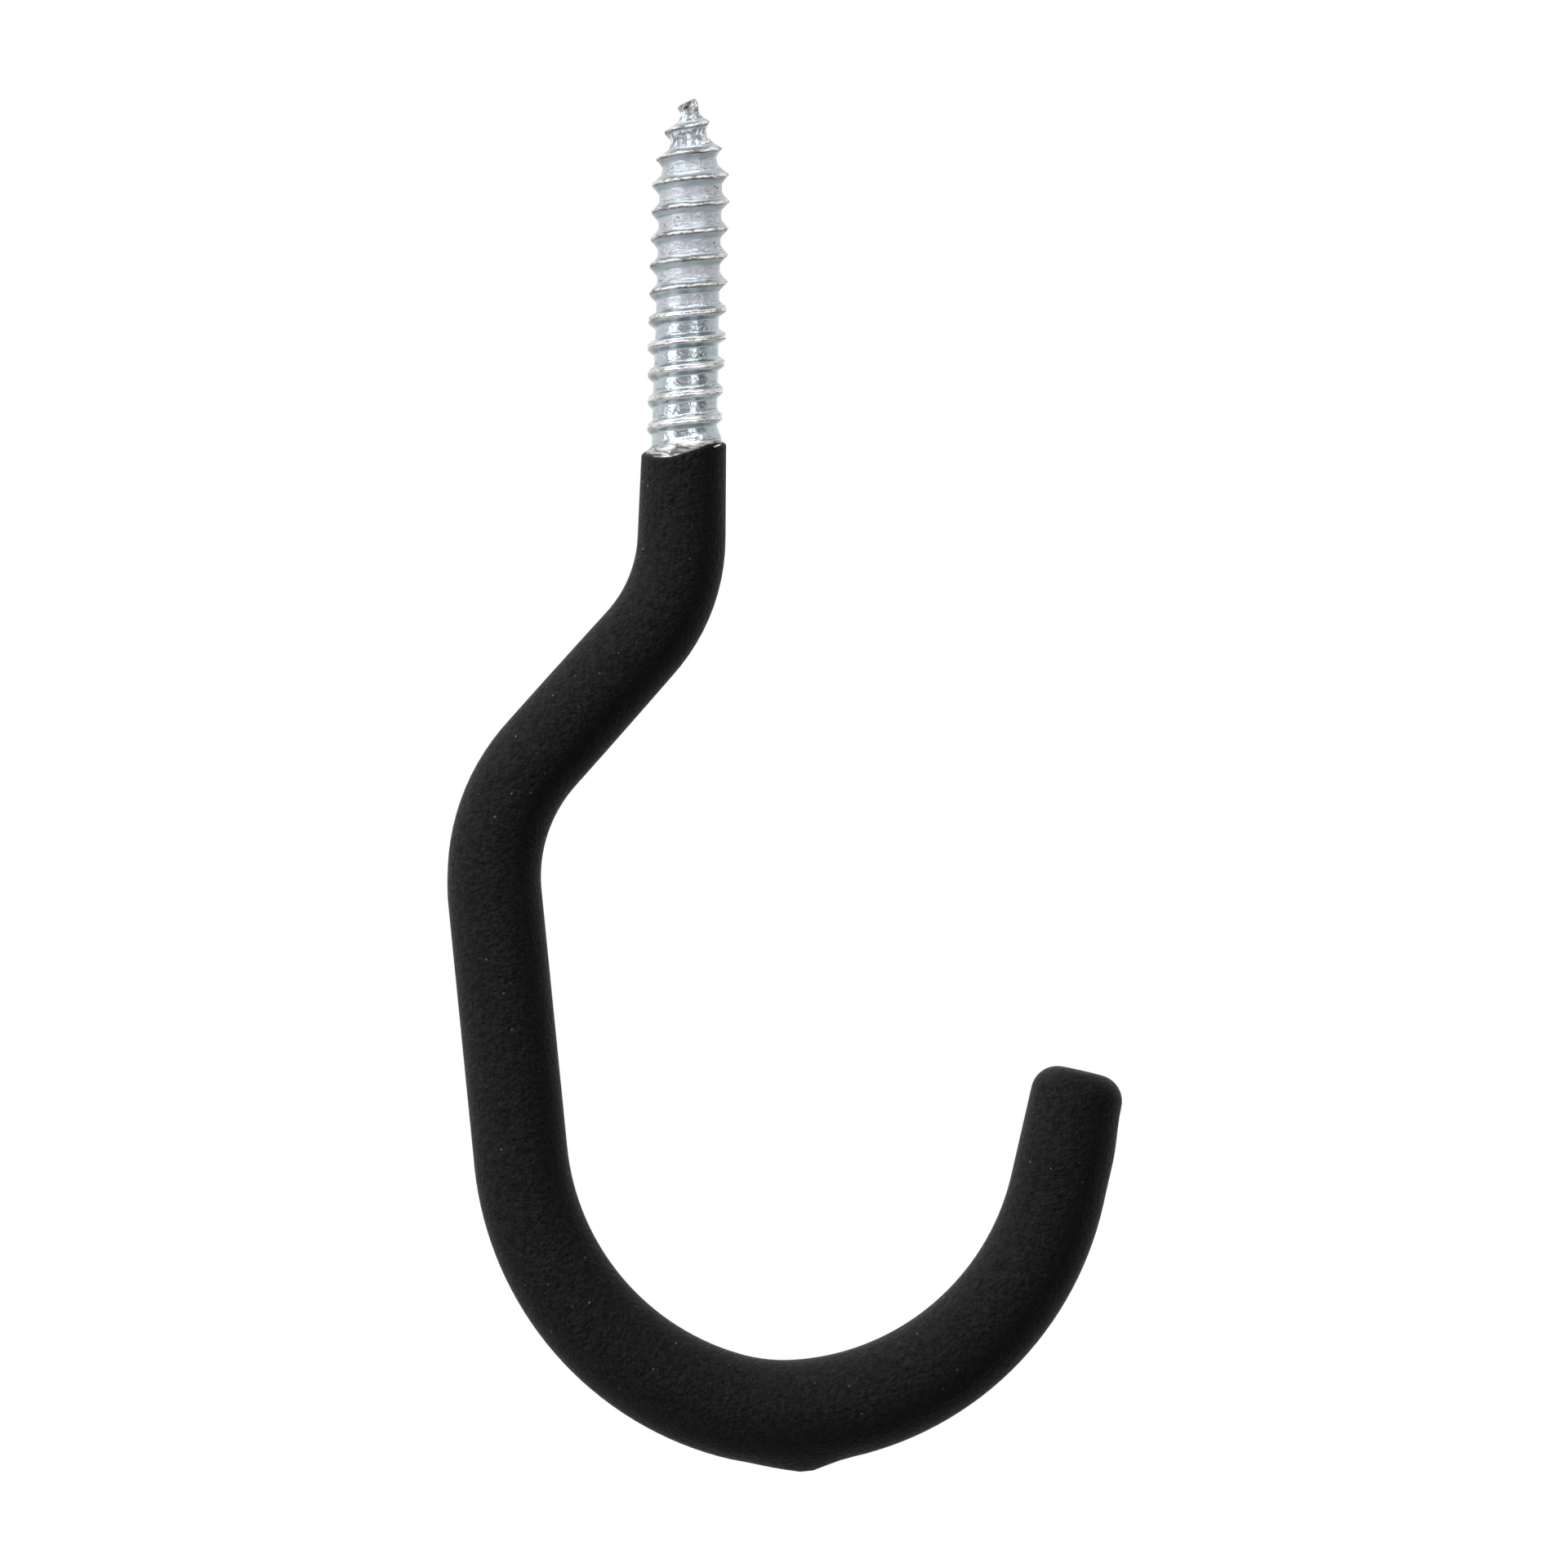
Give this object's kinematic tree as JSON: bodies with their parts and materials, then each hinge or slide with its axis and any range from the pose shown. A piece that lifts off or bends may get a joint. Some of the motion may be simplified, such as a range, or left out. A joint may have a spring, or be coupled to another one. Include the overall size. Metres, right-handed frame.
{
  "type": "screw-in tool hook",
  "caption": "Bent steel rod hook with a wood-screw thread at one end and a black vinyl-dipped bowl and lip, open to one side.",
  "frame": {"origin": "on the screw's axis, where the bare thread meets the vinyl's rim", "axes": "+Z along the screw, towards its point; the hook lies in the XZ plane and opens towards +X; +Y is across the rod's thickness"},
  "size_m": [0.0719, 0.0116, 0.1444],
  "materials": {
    "zinc_steel": "satin",
    "black_vinyl": "matte"
  },
  "bodies": {
    "root": {"steel_hook": "zinc_steel", "vinyl_coat": "black_vinyl"}
  },
  "joints": []
}
